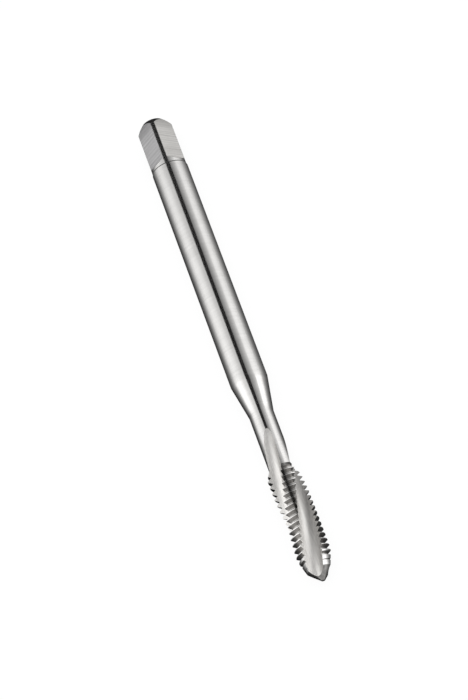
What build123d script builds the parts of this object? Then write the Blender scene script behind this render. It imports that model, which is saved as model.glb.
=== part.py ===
"""Machine tap, M4 x 0.7: square drive, plain shank, relieved neck, three right-hand
helical flutes, full helical thread with a lead chamfer, and a male centre at the point.

The tool is turned, fluted and threaded about its own axis, with the point at the origin
and the axis along +Z. It is then laid down: axis along X, point towards -X, the shank
resting on the plane Z = 0, and one corner of the square drive straight up.
"""
from build123d import *
import math
import os

# ---- Driving dimensions, in millimetres and degrees -----------------------------------

TOOL_LENGTH = 63.0          # point to the end of the square drive

# Shank and square drive
SHANK_DIAMETER = 4.5
DRIVE_LENGTH = 7.06         # end face to the plain shank
SHOULDER_LENGTH = 0.15      # steep step from the shank down to the collar
COLLAR_DIAMETER = 4.37      # at the step; the collar is a slight cone down to the corners
CORNER_DIAMETER = 4.33      # across the rounded corners of the square
SQUARE_ACROSS_FLATS = 3.4
SQUARE_LENGTH = 6.1         # full depth of the flats, from the end face
SQUARE_RUNOUT = 45.0        # slope where the cutter leaves each flat
END_FACE_DIAMETER = 2.85
END_CHAMFER_LENGTH = 0.9    # cone from the end face out to the corners

# Neck between the shank and the thread
NECK_DIAMETER = 2.95
NECK_START = 14.3           # back end of the thread, measured from the point
NECK_END = 21.4             # start of the taper up to the shank
TAPER_LENGTH = 4.5

# Thread
THREAD_DIAMETER = 4.04      # a little over the nominal 4 mm, as taps are
PITCH = 0.7
THREAD_ANGLE = 60.0
CREST_SHARE = 1 / 8         # flat on the crest, as a share of the pitch
ROOT_SHARE = 1 / 8          # flat in the root, as a share of the pitch
THREAD_PHASE = 190.0        # turns the thread about the axis

# Point and lead chamfer
POINT_DIAMETER = 2.95       # largest diameter of the male centre
POINT_FLAT = 0.4            # diameter of its blunt tip
POINT_ANGLE = 90.0          # included angle of the male centre
LEAD_LENGTH = 1.85          # lead chamfer, from the male centre to the full thread
BACK_LENGTH = 0.9           # cone behind the last thread, down to the neck

# Flutes
FLUTE_COUNT = 3
HELIX_ANGLE = 15.75         # at the thread's outer diameter
CORE_DIAMETER = 1.4
FLUTE_WIDTH = 72.5          # angle that a flute takes of the thread's circle
FLUTE_ROUNDING = 0.46       # radius of the round bottom, as a share of the flute's mouth
RAKE_ANGLE = 10.0           # hook of the cutting faces
FLUTE_LENGTH = 12.8         # full depth, measured from the point
WHEEL_RADIUS = 25.0         # of the grinding wheel that leaves the flute's run-out
RUNOUT_LEAD = 52.0          # slower turn of the tool while the wheel leaves it
FLUTE_PHASE = -147.0        # first flute's place about the axis, at the point

# Room that the cutting shapes take beyond the stock, and the steps of a helical cut
OVERRUN = 0.6
THREAD_OVERRUN = 0.06
FLUTE_STEP = 1.2
LAND_MARGIN = 13.0          # how far, in degrees, a thread cut runs out into the flutes

# ---- Worked out from the dimensions ----------------------------------------------------

SHANK_RADIUS = SHANK_DIAMETER / 2
COLLAR_RADIUS = COLLAR_DIAMETER / 2
CORNER_RADIUS = CORNER_DIAMETER / 2
NECK_RADIUS = NECK_DIAMETER / 2
THREAD_RADIUS = THREAD_DIAMETER / 2
POINT_RADIUS = POINT_DIAMETER / 2
CORE_RADIUS = CORE_DIAMETER / 2

FLUTE_LEAD = math.pi * THREAD_DIAMETER / math.tan(math.radians(HELIX_ANGLE))
FLUTE_SPACING = 360 / FLUTE_COUNT
LAND_WIDTH = FLUTE_SPACING - FLUTE_WIDTH

FLANK_SLOPE = math.tan(math.radians(THREAD_ANGLE / 2))
THREAD_DEPTH = PITCH * (1 - CREST_SHARE - ROOT_SHARE) / 2 / FLANK_SLOPE


def polar(radius, angle):
    """A point at this radius and angle in the plane across the axis."""
    turn = math.radians(angle)
    return Vector(radius * math.cos(turn), radius * math.sin(turn))


def turned_blank():
    """The round stock: point, lead cone, thread body, neck, taper, shank and drive."""
    point_length = (POINT_RADIUS - POINT_FLAT / 2) / math.tan(math.radians(POINT_ANGLE / 2))
    shank_end = TOOL_LENGTH - DRIVE_LENGTH
    collar_end = TOOL_LENGTH - SQUARE_LENGTH
    outline = Polyline(
        (0, 0),
        (POINT_FLAT / 2, 0),
        (POINT_RADIUS, point_length),
        (THREAD_RADIUS, point_length + LEAD_LENGTH),
        (THREAD_RADIUS, NECK_START - BACK_LENGTH),
        (NECK_RADIUS, NECK_START),
        (NECK_RADIUS, NECK_END),
        (SHANK_RADIUS, NECK_END + TAPER_LENGTH),
        (SHANK_RADIUS, shank_end),
        (COLLAR_RADIUS, shank_end + SHOULDER_LENGTH),
        (CORNER_RADIUS, collar_end),
        (CORNER_RADIUS, TOOL_LENGTH - END_CHAMFER_LENGTH),
        (END_FACE_DIAMETER / 2, TOOL_LENGTH),
        (0, TOOL_LENGTH),
        close=True,
    )
    return revolve(Plane.XZ * make_face(outline), Axis.Z)


def drive_flats():
    """The four cuts that leave the square: each runs out of the bar on a slope."""
    flat = SQUARE_ACROSS_FLATS / 2
    top = TOOL_LENGTH + OVERRUN
    outside = SHANK_RADIUS + OVERRUN
    runout = (outside - flat) / math.tan(math.radians(SQUARE_RUNOUT))
    flat_end = TOOL_LENGTH - SQUARE_LENGTH
    section = make_face(
        Polyline(
            (flat, flat_end),
            (flat, top),
            (outside, top),
            (outside, flat_end - runout),
            close=True,
        )
    )
    cut = extrude(Plane.XZ * section, amount=outside, both=True)
    return [Rot(0, 0, 45 + 90 * side) * cut for side in range(4)]


def flute_section():
    """Outline of one flute across the axis, open side outwards, its middle along +X.

    The hooked cutting face and the heel are straight, and both run into the round bottom.
    """
    edge_angle = FLUTE_WIDTH / 2
    face_angle = edge_angle - RAKE_ANGLE
    face_offset = THREAD_RADIUS * math.sin(math.radians(RAKE_ANGLE))
    mouth = 2 * THREAD_RADIUS * math.sin(math.radians(edge_angle))
    radius = FLUTE_ROUNDING * mouth
    centre_radius = CORE_RADIUS + radius
    centre_turn = math.degrees(math.asin((radius - face_offset) / centre_radius))
    centre = polar(centre_radius, face_angle - centre_turn)

    outwards = polar(1, face_angle)
    face_foot = centre + polar(radius, face_angle + 90)
    face_top = face_foot + outwards * (SHANK_RADIUS + OVERRUN)

    heel = polar(THREAD_RADIUS, -edge_angle)
    to_heel = heel - centre
    tangent_turn = math.degrees(math.acos(radius / to_heel.length))
    heel_direction = math.degrees(math.atan2(to_heel.Y, to_heel.X))
    heel_foot = centre + polar(radius, heel_direction - tangent_turn)
    heel_top = heel_foot + (heel - heel_foot).normalized() * (SHANK_RADIUS + OVERRUN)

    bottom = centre + ((face_foot - centre) + (heel_foot - centre)).normalized() * radius
    return make_face(
        [
            Line(face_top, face_foot),
            ThreePointArc(face_foot, bottom, heel_foot),
            Line(heel_foot, heel_top),
            Line(heel_top, face_top),
        ]
    )


def flute_lift(height):
    """How far the round wheel has lifted the flute's bottom at this height."""
    past = max(0.0, height - FLUTE_LENGTH)
    return WHEEL_RADIUS - math.sqrt(WHEEL_RADIUS**2 - past**2)


def flute_turn(height):
    """Where the flute has turned to, in degrees, at this height."""
    past = max(0.0, height - FLUTE_LENGTH)
    return FLUTE_PHASE + 360 * (height - past) / FLUTE_LEAD + 360 * past / RUNOUT_LEAD


def flute_cuts():
    """The helical flutes, each one its section carried up the helix and out of the bar."""
    clear = SHANK_RADIUS - CORE_RADIUS + OVERRUN
    runout = math.sqrt(2 * WHEEL_RADIUS * clear - clear**2)
    start = -OVERRUN
    length = FLUTE_LENGTH + runout - start
    steps = math.ceil(length / FLUTE_STEP)
    section = flute_section()
    stations = []
    for step in range(steps + 1):
        height = start + length * step / steps
        place = Pos(0, 0, height) * Rot(0, 0, flute_turn(height)) * Pos(flute_lift(height), 0, 0)
        stations.append(place * section)
    cut = loft(stations)
    return [Rot(0, 0, FLUTE_SPACING * number) * cut for number in range(FLUTE_COUNT)]


def thread_groove():
    """One groove between two crests, long enough to cross one land, centred on +X."""
    groove_top = PITCH * (1 - CREST_SHARE) / 2
    groove_root = PITCH * ROOT_SHARE / 2
    mouth = groove_top + THREAD_OVERRUN * FLANK_SLOPE
    section = Polyline(
        (THREAD_OVERRUN, -mouth),
        (-THREAD_DEPTH, -groove_root),
        (-THREAD_DEPTH, groove_root),
        (THREAD_OVERRUN, mouth),
        close=True,
    )
    span = LAND_WIDTH + 2 * LAND_MARGIN
    rise = PITCH * span / 360
    path = Pos(0, 0, -rise / 2) * Rot(0, 0, -span / 2) * Helix(PITCH, rise, THREAD_RADIUS)
    first = path @ 0
    across = Plane(origin=first, x_dir=(first.X, first.Y, 0), z_dir=(first.Y, -first.X, 0))
    return sweep(make_face(across * section), path=path, is_frenet=True)


def thread_cuts():
    """Every groove of the thread, where the thread's helix crosses the middle of a land."""
    groove = thread_groove()
    crossing_share = 1 - PITCH / FLUTE_LEAD
    turns = math.ceil(NECK_START / PITCH) + 1
    cuts = []
    for land in range(FLUTE_COUNT):
        land_start = FLUTE_PHASE + FLUTE_SPACING * (land + 0.5)
        for turn in range(turns + 1):
            height = PITCH * (turn + (land_start - THREAD_PHASE) / 360) / crossing_share
            if not POINT_RADIUS < height < NECK_START + PITCH / 2:
                continue
            cuts.append(Pos(0, 0, height) * Rot(0, 0, flute_turn(height) - FLUTE_PHASE + land_start) * groove)
    return cuts


def thread_tap():
    """The finished tool, laid on its shank."""
    tool = turned_blank() - drive_flats()
    tool -= flute_cuts()
    tool -= thread_cuts()
    lying = Plane(origin=(-TOOL_LENGTH / 2, 0, SHANK_RADIUS), x_dir=(0, 0, 1), z_dir=(1, 0, 0))
    return lying * tool


os.makedirs("parts", exist_ok=True)
export_step(thread_tap(), "parts/thread_tap.step")
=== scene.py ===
import math
import bpy
import bmesh
from mathutils import Matrix, Vector

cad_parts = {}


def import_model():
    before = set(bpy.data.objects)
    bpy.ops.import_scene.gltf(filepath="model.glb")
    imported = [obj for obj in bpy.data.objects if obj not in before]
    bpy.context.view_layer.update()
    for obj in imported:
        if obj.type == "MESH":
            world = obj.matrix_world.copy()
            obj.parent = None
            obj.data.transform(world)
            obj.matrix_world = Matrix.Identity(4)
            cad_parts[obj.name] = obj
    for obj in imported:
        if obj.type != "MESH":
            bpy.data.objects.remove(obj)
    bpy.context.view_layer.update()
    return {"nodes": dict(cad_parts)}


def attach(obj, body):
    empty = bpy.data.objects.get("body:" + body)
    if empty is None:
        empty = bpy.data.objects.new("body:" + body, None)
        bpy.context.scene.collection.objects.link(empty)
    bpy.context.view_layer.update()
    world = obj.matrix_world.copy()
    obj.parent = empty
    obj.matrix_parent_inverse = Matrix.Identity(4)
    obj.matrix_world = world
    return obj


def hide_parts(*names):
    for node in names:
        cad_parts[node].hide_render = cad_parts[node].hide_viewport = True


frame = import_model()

# The tool lies on its shank: its axis runs along X, its point looks towards -X, and one
# corner of its square stands straight up.

# ---- Sizes of the tool, in metres. Places along it are measured from its point ----------

MM = 0.001

TOOL_LENGTH = 63 * MM
SHANK_RADIUS = 2.25 * MM
AXIS_HEIGHT = SHANK_RADIUS
NECK_RADIUS = 1.475 * MM
THREAD_RADIUS = 2.02 * MM
ROOT_RADIUS = THREAD_RADIUS - 0.4547 * MM
LEAD_CREST_RADIUS = 1.44 * MM   # all of a lead crest lies outside this
SQUARE_HALF = 1.7 * MM          # from the axis to a flat

LEAD_END = 3.3 * MM
THREAD_END = 14.3 * MM
NECK_END = 21.4 * MM
SHOULDER = 55.94 * MM           # the step from the shank down to the square
SHOULDER_END = 56.12 * MM
END_CHAMFER = 62.1 * MM

# ---- How a face is told apart. A lean is its normal's part along X, or outwards ---------

ROUND_TOLERANCE = 0.006 * MM
FLANK_LEAN = 0.45
STEP_LEAN = 0.2
END_FACE_LEAN = 0.95
LEAD_CREST_LEAN = 0.9
FLAT_LEAN = 0.9
CORNER_WISE = 0.05              # a flat's normal has like parts along Y and Z
FLAT_REACH = 1.25 * SQUARE_HALF

MERGE_DISTANCE = 0.0008 * MM
SLIVER_LENGTH = 0.0005 * MM
SHARP_IN_ONE_STEEL = math.radians(32)
SHARP_BETWEEN_STEELS = math.radians(14)

# ---- Grinding marks: how closely they lie along X, Y and Z, for each metre --------------

RINGS = (9000, 250, 250)
BANDS = (900, 60, 60)
SCORES = (3600, 150, 150)
SCRATCHES = (4600, 90, 90)
PATCHES = (700, 500, 500)
TURNING = (12000, 400, 400)
STREAKS = (350, 5500, 5500)
GRAIN = (3000, 3000, 3000)

ACROSS_A_FLAT = (1, 0.06, 0.06)  # draws a pattern out along Y and Z, so that it runs straight
WAVE_PERIOD = 0.314              # of a wave texture whose scale is 1
TURNING_FEED = 0.12 * MM

# A flat's feed marks: the feed, and how far the marks stray from the middle grey.
LEFT_MARKS = (0.44 * MM, 0.26)
RIGHT_MARKS = (0.34 * MM, 0.28)

# ---- Spans: from, to, and what these become, or else 0 and 1. X is 0 at mid-length ------

MOST_OF_NOISE = (0.3, 0.7)
SHANK_NOISE = (0.36, 0.64)
SCRATCH_NOISE = (0.35, 0.65)
# The flutes' painted light, fading to 0.6 towards the runout.
PAINTED_LIGHT_RUNOUT_FADE = (-17.5 * MM, -11.0 * MM, 1.0, 0.6)
# Painted shade on the flats, darkest at the square's end.
END_PAINTED_SHADE = (29.5 * MM, 31.3 * MM, 1.0, 0.0)
# Painted shade on a flute's cutting face, painted light on the faces that look outwards or back.
PAINTED_LIGHT_BY_SIDE = (-1.0, 0.0, 0.0, 0.82)

# ---- The dark and the light grey of each steel ------------------------------------------

SHANK_GREYS = ((0.71, 0.702, 0.69), (0.80, 0.791, 0.778))
# The square's flats are one steel in two copies: painted shade on the left, painted light on the
# right.
LEFT_FLAT_SHADED_GREYS = ((0.30, 0.297, 0.30), (0.80, 0.795, 0.80))
RIGHT_FLAT_LIT_GREYS = ((0.46, 0.45, 0.435), (1.0, 0.985, 0.96))
# The flute's light grey shows where its painted light falls, the dark grey is painted shade on the
# cutting face.
FLUTE_GREYS = ((0.40, 0.391, 0.378), (1.0, 0.985, 0.96))
# Painted shade: the thread's flanks and roots darker than its crests.
THREAD_SHADED_GREYS = ((0.38, 0.372, 0.361), (0.56, 0.547, 0.532))
CREST_GREYS = ((0.86, 0.847, 0.83), (1.0, 0.985, 0.965))
LEAD_GREYS = ((0.72, 0.715, 0.705), (0.88, 0.875, 0.865))
# Painted shade: the step to the square and the end chamfer near black.
SHOULDER_SHADE_GREYS = ((0.10, 0.10, 0.10), (0.16, 0.16, 0.155))
END_GREYS = ((0.42, 0.415, 0.405), (0.74, 0.73, 0.715))

# ---- Camera -----------------------------------------------------------------------------

SENSOR_SIZE = 36                # millimetres
PICTURE_HEIGHT = 700            # pixels
FOCAL_LENGTH = 2200             # in the same pixels
CAMERA_PLACE = (-0.11303, 0, 0.232683)
CAMERA_AIM = (-0.0011377, 0.0003545, 0.00225)
CAMERA_ROLL = math.radians(20.49)
NEAREST_SEEN = 0.01

# ---- Floor and lamp ---------------------------------------------------------------------

FLOOR_SIZE = 3
FLOOR_COLOUR = (0.92, 0.92, 0.92, 1)
FLOOR_GLOW = 0.93               # share of plain white where the floor is looked at

LAMP_SIZE = 0.5
LAMP_POWER = 1.5
LAMP_HEIGHT = 0.6

# ---- What only the metal sees: a flag and a scrim above it, a sheet of painted shade under it, a tent ----

CARD_LENGTH = 0.46
CARD_PLACE = 0.13               # of the flag's and the scrim's middle, along X
CARD_HEIGHT = 0.30
FLAG_WIDTH = 0.126
FLAG_LEVEL = 0.01
SCRIM_WIDTH = 0.257
SCRIM_PLACE = -(FLAG_WIDTH + SCRIM_WIDTH) / 2
SCRIM_LEVELS = (-FLAG_WIDTH / 2, -FLAG_WIDTH / 2 - SCRIM_WIDTH, 0.22, 0.82)  # over Y

# A sheet the metal mirrors in place of the floor, painted with shade: darkest in a line under the
# tool.
SHADE_SHEET_SIZE = 0.5
SHADE_SHEET_LIFT = 0.00005
SHADE_SHEET_LEVEL = 0.64
SHADE_SHEET_MIDDLE = 0.0005           # Y of its darkest line
# Over X: how far from that line the painted shade sheet comes half way to its level.
SHADE_SHEET_HALF_WAYS = (-0.030, -0.042, 0.0112, 0.0045)

TENT_RADIUS = 0.9
TENT_HEM = 0.0001
TENT_PEAK = 1.6
TENT_LEVELS = (                 # share of the way up, level
    (0.0, 0.68), (0.06, 0.74), (0.17, 0.88), (0.40, 1.0),
    (0.60, 0.92), (0.74, 0.78), (0.86, 0.6), (1.0, 0.5),
)
TENT_ENDS = (                   # share of the way along X, level
    (0.0, 0.3), (0.2, 0.5), (0.4, 0.95), (0.55, 1.0),
    (0.8, 0.56), (0.88, 0.5), (0.95, 0.42), (1.0, 0.0),
)


# ---- Objects ----------------------------------------------------------------------------

def add_object(name, data):
    """A new object in the scene."""
    thing = bpy.data.objects.new(name, data)
    bpy.context.scene.collection.objects.link(thing)
    return thing


def add_mesh(name, shape, finishes):
    """A bmesh shape as a new object in these finishes."""
    mesh = bpy.data.meshes.new(name)
    shape.to_mesh(mesh)
    shape.free()
    for finish in finishes:
        mesh.materials.append(finish)
    return add_object(name, mesh)


# ---- Nodes ------------------------------------------------------------------------------

class Nodes:
    """A short way to put nodes into one material's tree, and to join them."""

    def __init__(self, tree):
        self.tree = tree

    def put(self, kind, **settings):
        """A new node with these settings."""
        node = self.tree.nodes.new(kind)
        for name, value in settings.items():
            setattr(node, name, value)
        return node

    def join(self, out, into):
        """Leads one node's output into another's input."""
        self.tree.links.new(out, into)

    def place(self):
        """Where a point of the surface lies, in metres."""
        return self.put("ShaderNodeTexCoord").outputs["Object"]

    def split(self, vector):
        """The parts of a place or a normal along X, Y and Z."""
        node = self.put("ShaderNodeSeparateXYZ")
        self.join(vector, node.inputs[0])
        return node.outputs[0], node.outputs[1], node.outputs[2]

    def math(self, operation, first, second=0.0):
        """One step of reckoning with outputs or plain numbers."""
        node = self.put("ShaderNodeMath", operation=operation)
        for socket, value in zip(node.inputs, (first, second)):
            if isinstance(value, bpy.types.NodeSocket):
                self.join(value, socket)
            else:
                socket.default_value = value
        return node.outputs[0]

    def squared(self, value):
        """A value times itself."""
        return self.math("MULTIPLY", value, value)

    def total(self, *parts):
        """The sum of parts, each of them a value and its weight."""
        weighted = [self.math("MULTIPLY", value, weight) for value, weight in parts]
        result = weighted[0]
        for part in weighted[1:]:
            result = self.math("ADD", result, part)
        return result

    def span(self, value, low, high, to_low=0.0, to_high=1.0):
        """Takes low to to_low and high to to_high, and what lies past them no further."""
        node = self.put("ShaderNodeMapRange")
        self.join(value, node.inputs["Value"])
        node.inputs["From Min"].default_value = low
        node.inputs["From Max"].default_value = high
        node.inputs["To Min"].default_value = to_low
        node.inputs["To Max"].default_value = to_high
        return node.outputs["Result"]

    def mapping(self, place, scale, move=(0, 0, 0)):
        """A place, scaled and then moved."""
        node = self.put("ShaderNodeMapping")
        node.inputs["Location"].default_value = move
        node.inputs["Scale"].default_value = scale
        self.join(place, node.inputs["Vector"])
        return node.outputs["Vector"]

    def marks(self, place, closeness, detail=2.0, rough=0.5):
        """Uneven marks, from 0 to 1, which run long where they lie less closely."""
        node = self.put("ShaderNodeTexNoise")
        node.inputs["Scale"].default_value = 1.0
        node.inputs["Detail"].default_value = detail
        node.inputs["Roughness"].default_value = rough
        self.join(self.mapping(place, closeness), node.inputs["Vector"])
        return node.outputs["Fac"]

    def waves(self, place, feed, distortion, detail_scale=1.0, **settings):
        """Steady marks, one for each step of the feed."""
        node = self.put("ShaderNodeTexWave", **settings)
        node.inputs["Scale"].default_value = WAVE_PERIOD / feed
        node.inputs["Distortion"].default_value = distortion
        node.inputs["Detail Scale"].default_value = detail_scale
        self.join(place, node.inputs["Vector"])
        return node.outputs["Fac"]

    def ramp(self, value, stops):
        """Grey levels between (place, level) stops."""
        node = self.put("ShaderNodeValToRGB")
        colours = node.color_ramp.elements
        while len(colours) < len(stops):
            colours.new(0.5)
        for colour, (place, level) in zip(colours, stops):
            colour.position = place
            colour.color = (level, level, level, 1)
        self.join(value, node.inputs[0])
        return node.outputs[0]

    def blend(self, share, first, second):
        """The first colour where the share is 0, and the second where it is 1."""
        node = self.put("ShaderNodeMix", data_type="RGBA")
        self.join(share, node.inputs[0])
        node.inputs[6].default_value = (*first, 1)
        node.inputs[7].default_value = (*second, 1)
        return node.outputs[2]


def new_steel(name, roughness, anisotropy=0.0):
    """A metal with its own object coordinates, ready for its grinding marks."""
    steel = bpy.data.materials.new(name)
    steel.use_nodes = True
    nodes = Nodes(steel.node_tree)
    shader = steel.node_tree.nodes["Principled BSDF"]
    shader.inputs["Metallic"].default_value = 1.0
    shader.inputs["Roughness"].default_value = roughness
    shader.inputs["Anisotropic"].default_value = anisotropy
    return steel, nodes, shader, nodes.place()


def dress(nodes, shader, share, greys, height, bump, depth):
    """Colours a steel between its two greys, and raises its marks."""
    nodes.join(nodes.blend(share, *greys), shader.inputs["Base Color"])
    relief = nodes.put("ShaderNodeBump")
    relief.inputs["Strength"].default_value = bump
    relief.inputs["Distance"].default_value = depth
    nodes.join(height, relief.inputs["Height"])
    nodes.join(relief.outputs["Normal"], shader.inputs["Normal"])


def sheen_along_axis(nodes, shader):
    """Marks that run round the axis spread a highlight along it."""
    along = nodes.put("ShaderNodeCombineXYZ")
    along.inputs[0].default_value = 1.0
    nodes.join(along.outputs[0], shader.inputs["Tangent"])


# ---- Steels -----------------------------------------------------------------------------

def shank_steel():
    """Cylindrically ground: fine rings round the axis, of uneven depth."""
    name = "cylindrical_ground_steel"
    steel, nodes, shader, place = new_steel(name, roughness=0.17, anisotropy=0.8)
    rings = nodes.marks(place, RINGS, detail=3.0, rough=0.6)
    bands = nodes.marks(place, BANDS)
    scores = nodes.marks(place, SCORES, rough=0.6)
    share = nodes.total((rings, 0.4), (bands, 0.2), (scores, 0.4))
    share = nodes.span(share, *SHANK_NOISE)
    dress(nodes, shader, share, SHANK_GREYS, rings, bump=0.15, depth=0.005 * MM)
    sheen_along_axis(nodes, shader)
    return steel


def flat_steel(name, greys, feed, contrast):
    """Surface-ground: straight marks across at a steady feed, finer scratches, painted shade
    towards the end.
    """
    steel, nodes, shader, place = new_steel(name, roughness=0.36)
    straight = nodes.mapping(place, ACROSS_A_FLAT)
    wheel = nodes.waves(straight, feed, distortion=1.6, detail_scale=0.6, bands_direction="X")
    scratches = nodes.span(nodes.marks(place, SCRATCHES, detail=3.0, rough=0.7), *SCRATCH_NOISE)
    patches = nodes.span(nodes.marks(place, PATCHES, detail=1.0), *MOST_OF_NOISE)
    share = nodes.total((wheel, 0.25), (scratches, 0.6), (patches, 0.15))
    share = nodes.span(share, 0.0, 1.0, 0.5 - contrast, 0.5 + contrast)
    along = nodes.split(place)[0]
    # Painted shade towards the square's end.
    share = nodes.math("MULTIPLY", share, nodes.span(along, *END_PAINTED_SHADE))
    dress(nodes, shader, share, greys, share, bump=0.5, depth=0.01 * MM)
    return steel


def shoulder_steel():
    """Turned and left dull, and painted near black as shade: the step down to the square and the
    end chamfer.
    """
    steel, nodes, shader, place = new_steel("turned_shoulder_steel_painted_shade", roughness=0.4)
    turning = nodes.marks(place, TURNING)
    share = nodes.span(turning, *MOST_OF_NOISE)
    dress(nodes, shader, share, SHOULDER_SHADE_GREYS, turning, bump=0.2, depth=0.01 * MM)
    return steel


def end_steel():
    """The end face of the square, left as it was cut off: dull, with turning rings."""
    steel, nodes, shader, place = new_steel("cut_off_steel", roughness=0.62)
    centred = nodes.mapping(place, (1, 1, 1), move=(0, 0, -AXIS_HEIGHT))
    rings = nodes.waves(centred, TURNING_FEED, 0.8, wave_type="RINGS", rings_direction="X")
    share = nodes.math("ADD", nodes.math("MULTIPLY", rings, 0.4), 0.3)
    dress(nodes, shader, share, END_GREYS, share, bump=0.4, depth=0.01 * MM)
    return steel


def flute_steel():
    """Ground by a wheel along the flute: lengthwise streaks, painted shade on the cutting side,
    painted light on the rest.
    """
    steel, nodes, shader, place = new_steel("fluted_ground_steel_painted_light", roughness=0.58)
    streaks = nodes.marks(place, STREAKS, detail=3.0, rough=0.6)
    streaks = nodes.span(streaks, *MOST_OF_NOISE)
    along = nodes.split(place)[0]
    # Painted shade on the cutting face, painted light elsewhere, fading towards the runout.
    painted_light = nodes.span(turned_to_cut(nodes, place), *PAINTED_LIGHT_BY_SIDE)
    painted_light = nodes.math("MULTIPLY", painted_light, nodes.span(along, *PAINTED_LIGHT_RUNOUT_FADE))
    share = nodes.math("ADD", nodes.math("MULTIPLY", streaks, 0.22), painted_light)
    dress(nodes, shader, share, FLUTE_GREYS, streaks, bump=0.35, depth=0.02 * MM)
    return steel


def turned_to_cut(nodes, place):
    """-1 on a face that looks the way the tool turns, 1 on one that looks back, 0 outwards."""
    normal = nodes.put("ShaderNodeNewGeometry").outputs["Normal"]
    _, normal_y, normal_z = nodes.split(normal)
    _, side, level = nodes.split(place)
    height = nodes.math("SUBTRACT", level, AXIS_HEIGHT)
    reach = nodes.math("SQRT", nodes.math("ADD", nodes.squared(side), nodes.squared(height)))
    turning = nodes.math(
        "SUBTRACT",
        nodes.math("MULTIPLY", normal_z, side),
        nodes.math("MULTIPLY", normal_y, height),
    )
    return nodes.math("DIVIDE", turning, reach)


def crest_steel(name, greys):
    """Crests, ground round the axis."""
    steel, nodes, shader, place = new_steel(name, roughness=0.2)
    rings = nodes.marks(place, RINGS, detail=3.0, rough=0.6)
    share = nodes.span(rings, *MOST_OF_NOISE)
    dress(nodes, shader, share, greys, rings, bump=0.15, depth=0.005 * MM)
    return steel


def thread_steel():
    """Thread-ground flanks and roots: finer than the flutes, and painted darker as shade in the
    grooves.
    """
    steel, nodes, shader, place = new_steel("thread_ground_steel_painted_shade", roughness=0.16)
    grain = nodes.marks(place, GRAIN)
    share = nodes.span(grain, *MOST_OF_NOISE)
    dress(nodes, shader, share, THREAD_SHADED_GREYS, grain, bump=0.12, depth=0.01 * MM)
    return steel


def steels():
    """The steel of each region of the tool."""
    return {
        "shank": shank_steel(),
        # The left flats take the copy painted in shade, the right flats the copy painted in light.
        "left_flat": flat_steel("left_flat_ground_steel_painted_shade", LEFT_FLAT_SHADED_GREYS, *LEFT_MARKS),
        "right_flat": flat_steel("right_flat_ground_steel_painted_light", RIGHT_FLAT_LIT_GREYS, *RIGHT_MARKS),
        "flute": flute_steel(),
        "thread": thread_steel(),
        "crest": crest_steel("crest_ground_steel", CREST_GREYS),
        "lead": crest_steel("lead_ground_steel", LEAD_GREYS),
        "shoulder": shoulder_steel(),
        "end": end_steel(),
    }


# ---- The tool ---------------------------------------------------------------------------

def region(face):
    """Which grinding a face of the tool had, from where it is and which way it looks."""
    reach = face.calc_center_median().x + TOOL_LENGTH / 2
    if reach > NECK_END:
        return region_of_drive(face, reach)
    radii = [math.hypot(v.co.y, v.co.z - AXIS_HEIGHT) for v in face.verts]
    if reach > THREAD_END and all_at(radii, NECK_RADIUS):
        return "shank"
    if reach < LEAD_END and outward_lean(face) > LEAD_CREST_LEAN and min(radii) > LEAD_CREST_RADIUS:
        return "lead"
    if all_at(radii, THREAD_RADIUS):
        return "crest"
    if all_at(radii, ROOT_RADIUS) or abs(face.normal.x) > FLANK_LEAN:
        return "thread"
    return "flute"


def region_of_drive(face, reach):
    """The same behind the neck: the taper, the shank and the square."""
    if reach > SHOULDER and is_flat_face(face):
        return "left_flat" if face.normal.y > 0 else "right_flat"
    if SHOULDER < reach < SHOULDER_END and face.normal.x > STEP_LEAN:
        return "shoulder"
    if reach > END_CHAMFER and face.normal.x > STEP_LEAN:
        return "shoulder" if face.normal.x < END_FACE_LEAN else "end"
    return "shank"


def all_at(radii, radius):
    """True where these all come to one radius."""
    return all(abs(r - radius) < ROUND_TOLERANCE for r in radii)


def outward_lean(face):
    """How squarely a face looks away from the axis: 1 on a cylinder round it."""
    middle = face.calc_center_median()
    outward = Vector((0, middle.y, middle.z - AXIS_HEIGHT))
    return face.normal.dot(outward.normalized())


def is_flat_face(face):
    """True on the square's four flats, which look half way between Y and Z."""
    uneven = abs(abs(face.normal.y) - abs(face.normal.z))
    if uneven >= CORNER_WISE or abs(face.normal.x) >= FLAT_LEAN:
        return False
    normal = Vector((0, face.normal.y, face.normal.z))
    if normal.length == 0:
        return False
    normal.normalize()
    centre = Vector((0, 0, AXIS_HEIGHT))
    return all(
        (Vector((0, v.co.y, v.co.z)) - centre).dot(normal) < FLAT_REACH
        for v in face.verts
    )


def is_sharp(edge):
    """True at a turn of the surface, and at a slighter one where two steels meet."""
    if len(edge.link_faces) != 2:
        return True
    first, second = edge.link_faces
    same = first.material_index == second.material_index
    return edge.calc_face_angle(0.0) >= (SHARP_IN_ONE_STEEL if same else SHARP_BETWEEN_STEELS)


def tap_body(node):
    """The CAD shape in its steels: points merged, rounds smooth and edges sharp."""
    finishes = steels()
    order = list(finishes)
    body = bmesh.new()
    body.from_mesh(node.data)
    bmesh.ops.remove_doubles(body, verts=body.verts, dist=MERGE_DISTANCE)
    bmesh.ops.dissolve_degenerate(body, dist=SLIVER_LENGTH, edges=body.edges)
    body.normal_update()
    for face in body.faces:
        face.smooth = True
        face.material_index = order.index(region(face))
    for edge in body.edges:
        edge.smooth = not is_sharp(edge)
    piece = add_mesh("tap_body", body, finishes.values())
    weigh = piece.modifiers.new("even_normals", "WEIGHTED_NORMAL")
    weigh.mode = "FACE_AREA"
    weigh.keep_sharp = True
    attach(piece, "root")
    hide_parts("thread_tap")


# ---- Camera, floor and light ------------------------------------------------------------

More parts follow.
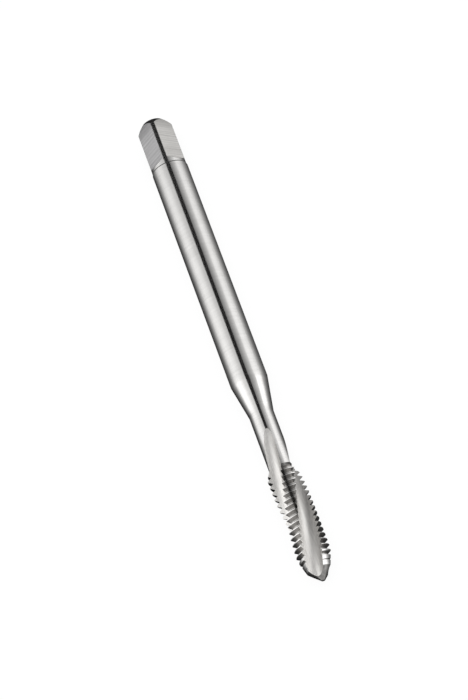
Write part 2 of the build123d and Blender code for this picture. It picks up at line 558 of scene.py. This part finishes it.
def camera():
    """Above the tool, looking down at it from past its point, and rolled."""
    data = bpy.data.cameras.new("camera")
    data.sensor_width = SENSOR_SIZE
    data.lens = FOCAL_LENGTH * SENSOR_SIZE / PICTURE_HEIGHT
    data.clip_start = NEAREST_SEEN
    eye = Vector(CAMERA_PLACE)
    ahead = (Vector(CAMERA_AIM) - eye).normalized()
    level = Vector((1, 0, 0))
    level = (level - level.dot(ahead) * ahead).normalized()
    side = ahead.cross(level)
    up = level * math.cos(CAMERA_ROLL) + side * math.sin(CAMERA_ROLL)
    turn = Matrix((ahead.cross(up), up, -ahead)).transposed().to_4x4()
    turn.translation = eye
    holder = add_object("camera", data)
    holder.matrix_world = turn
    bpy.context.scene.camera = holder


def stage_piece(name, shape, paint):
    """A piece of the studio, which isn't part of the tool."""
    piece = add_mesh(name, shape, [paint])
    return piece


def only_in_metal(piece):
    """Leaves a piece to be mirrored, neither seen by itself nor lighting the floor."""
    piece.visible_camera = False
    piece.visible_diffuse = False
    piece.visible_shadow = False


def card(length, width, centre):
    """A level rectangle, its length along the tool."""
    shape = bmesh.new()
    bmesh.ops.create_grid(shape, x_segments=1, y_segments=1, size=0.5)
    bmesh.ops.scale(shape, vec=(length, width, 1), verts=shape.verts)
    bmesh.ops.translate(shape, vec=centre, verts=shape.verts)
    return shape


def dome():
    """Half a ball over the tool, its hem just above the floor."""
    shape = bmesh.new()
    bmesh.ops.create_uvsphere(shape, u_segments=96, v_segments=48, radius=TENT_RADIUS)
    bmesh.ops.bisect_plane(
        shape,
        geom=shape.verts[:] + shape.edges[:] + shape.faces[:],
        plane_co=(0, 0, TENT_HEM),
        plane_no=(0, 0, 1),
        clear_inner=True,
    )
    return shape


def seen_directly(nodes):
    """1 for rays from the camera, off gloss and through glass, and 0 for all others."""
    path = nodes.put("ShaderNodeLightPath")
    seen = nodes.math("MAXIMUM", path.outputs["Is Camera Ray"], path.outputs["Is Glossy Ray"])
    return nodes.math("MAXIMUM", seen, path.outputs["Is Transmission Ray"])


def pale_floor():
    """Matt paint that takes a faint shadow, and looks nearly white."""
    paint = bpy.data.materials.new("pale_floor")
    paint.use_nodes = True
    nodes = Nodes(paint.node_tree)
    matt = paint.node_tree.nodes["Principled BSDF"]
    matt.inputs["Base Color"].default_value = FLOOR_COLOUR
    matt.inputs["Roughness"].default_value = 1.0
    matt.inputs["Specular IOR Level"].default_value = 0.0
    glow = nodes.put("ShaderNodeEmission")
    glow.inputs["Strength"].default_value = 1.0
    mix = nodes.put("ShaderNodeMixShader")
    nodes.join(nodes.math("MULTIPLY", seen_directly(nodes), FLOOR_GLOW), mix.inputs[0])
    nodes.join(matt.outputs[0], mix.inputs[1])
    nodes.join(glow.outputs[0], mix.inputs[2])
    nodes.join(mix.outputs[0], paint.node_tree.nodes["Material Output"].inputs[0])
    return paint


def glowing_paint(name):
    """Paint that gives off its own level, with its nodes and the socket for that level."""
    paint = bpy.data.materials.new(name)
    paint.use_nodes = True
    tree = paint.node_tree
    tree.nodes.remove(tree.nodes["Principled BSDF"])
    nodes = Nodes(tree)
    glow = nodes.put("ShaderNodeEmission")
    nodes.join(glow.outputs[0], tree.nodes["Material Output"].inputs[0])
    return paint, nodes, glow.inputs["Strength"]


def black_cloth():
    """Nearly black all over."""
    paint, _, level = glowing_paint("black_cloth")
    level.default_value = FLAG_LEVEL
    return paint


def grey_scrim():
    """A net beside the black cloth, darkest where the two meet."""
    paint, nodes, level = glowing_paint("grey_scrim")
    _, side, _ = nodes.split(nodes.place())
    nodes.join(nodes.span(side, *SCRIM_LEVELS), level)
    return paint


def painted_shade_sheet():
    """Painted shade: dark along a line under the tool, and paler the further it lies from that."""
    paint, nodes, level = glowing_paint("painted_shade_sheet")
    along, side, _ = nodes.split(nodes.place())
    across = nodes.squared(nodes.math("SUBTRACT", side, SHADE_SHEET_MIDDLE))
    half_way = nodes.squared(nodes.span(along, *SHADE_SHEET_HALF_WAYS))
    share = nodes.math("DIVIDE", across, nodes.math("ADD", across, half_way))
    nodes.join(nodes.math("MULTIPLY", share, SHADE_SHEET_LEVEL), level)
    return paint


def tent_cloth():
    """Lit cloth: brightest part of the way up, and dull towards both ends of the tool."""
    paint, nodes, level = glowing_paint("tent_cloth")
    along, _, height = nodes.split(nodes.place())
    upwards = nodes.ramp(nodes.span(height, 0.0, TENT_RADIUS), TENT_LEVELS)
    lengthwise = nodes.ramp(nodes.span(along, -TENT_RADIUS, TENT_RADIUS), TENT_ENDS)
    lit = nodes.math("MULTIPLY", upwards, lengthwise)
    nodes.join(nodes.math("MULTIPLY", lit, TENT_PEAK), level)
    return paint


def world():
    """Plain white all round."""
    surroundings = bpy.data.worlds.new("studio")
    bpy.context.scene.world = surroundings
    surroundings.use_nodes = True
    back = surroundings.node_tree.nodes["Background"]
    back.inputs["Color"].default_value = (1, 1, 1, 1)
    back.inputs["Strength"].default_value = 1.0


def soft_lamp():
    """A wide lamp overhead, which gives the floor its faint shadow."""
    data = bpy.data.lights.new("overhead", "AREA")
    data.shape = "RECTANGLE"
    data.size = LAMP_SIZE
    data.size_y = LAMP_SIZE
    data.energy = LAMP_POWER
    lamp = add_object("overhead", data)
    lamp.matrix_world = Matrix.Translation((0, 0, LAMP_HEIGHT))
    lamp.visible_glossy = False


def studio():
    """The floor and its light, and what the metal mirrors."""
    stage_piece("floor", card(FLOOR_SIZE, FLOOR_SIZE, (0, 0, 0)), pale_floor())
    world()
    only_in_metal(stage_piece("light_tent", dome(), tent_cloth()))
    soft_lamp()
    flag = card(CARD_LENGTH, FLAG_WIDTH, (CARD_PLACE, 0, CARD_HEIGHT))
    only_in_metal(stage_piece("flag_above", flag, black_cloth()))
    scrim = card(CARD_LENGTH, SCRIM_WIDTH, (CARD_PLACE, SCRIM_PLACE, CARD_HEIGHT))
    only_in_metal(stage_piece("scrim_above", scrim, grey_scrim()))
    # A sheet of painted shade under the tool, seen only in the metal.
    shade_sheet = card(SHADE_SHEET_SIZE, SHADE_SHEET_SIZE, (0, 0, SHADE_SHEET_LIFT))
    only_in_metal(stage_piece("painted_shade_under_tool", shade_sheet, painted_shade_sheet()))


camera()
tap_body(frame["nodes"]["thread_tap"])
studio()
bpy.context.scene.view_settings.view_transform = "Standard"
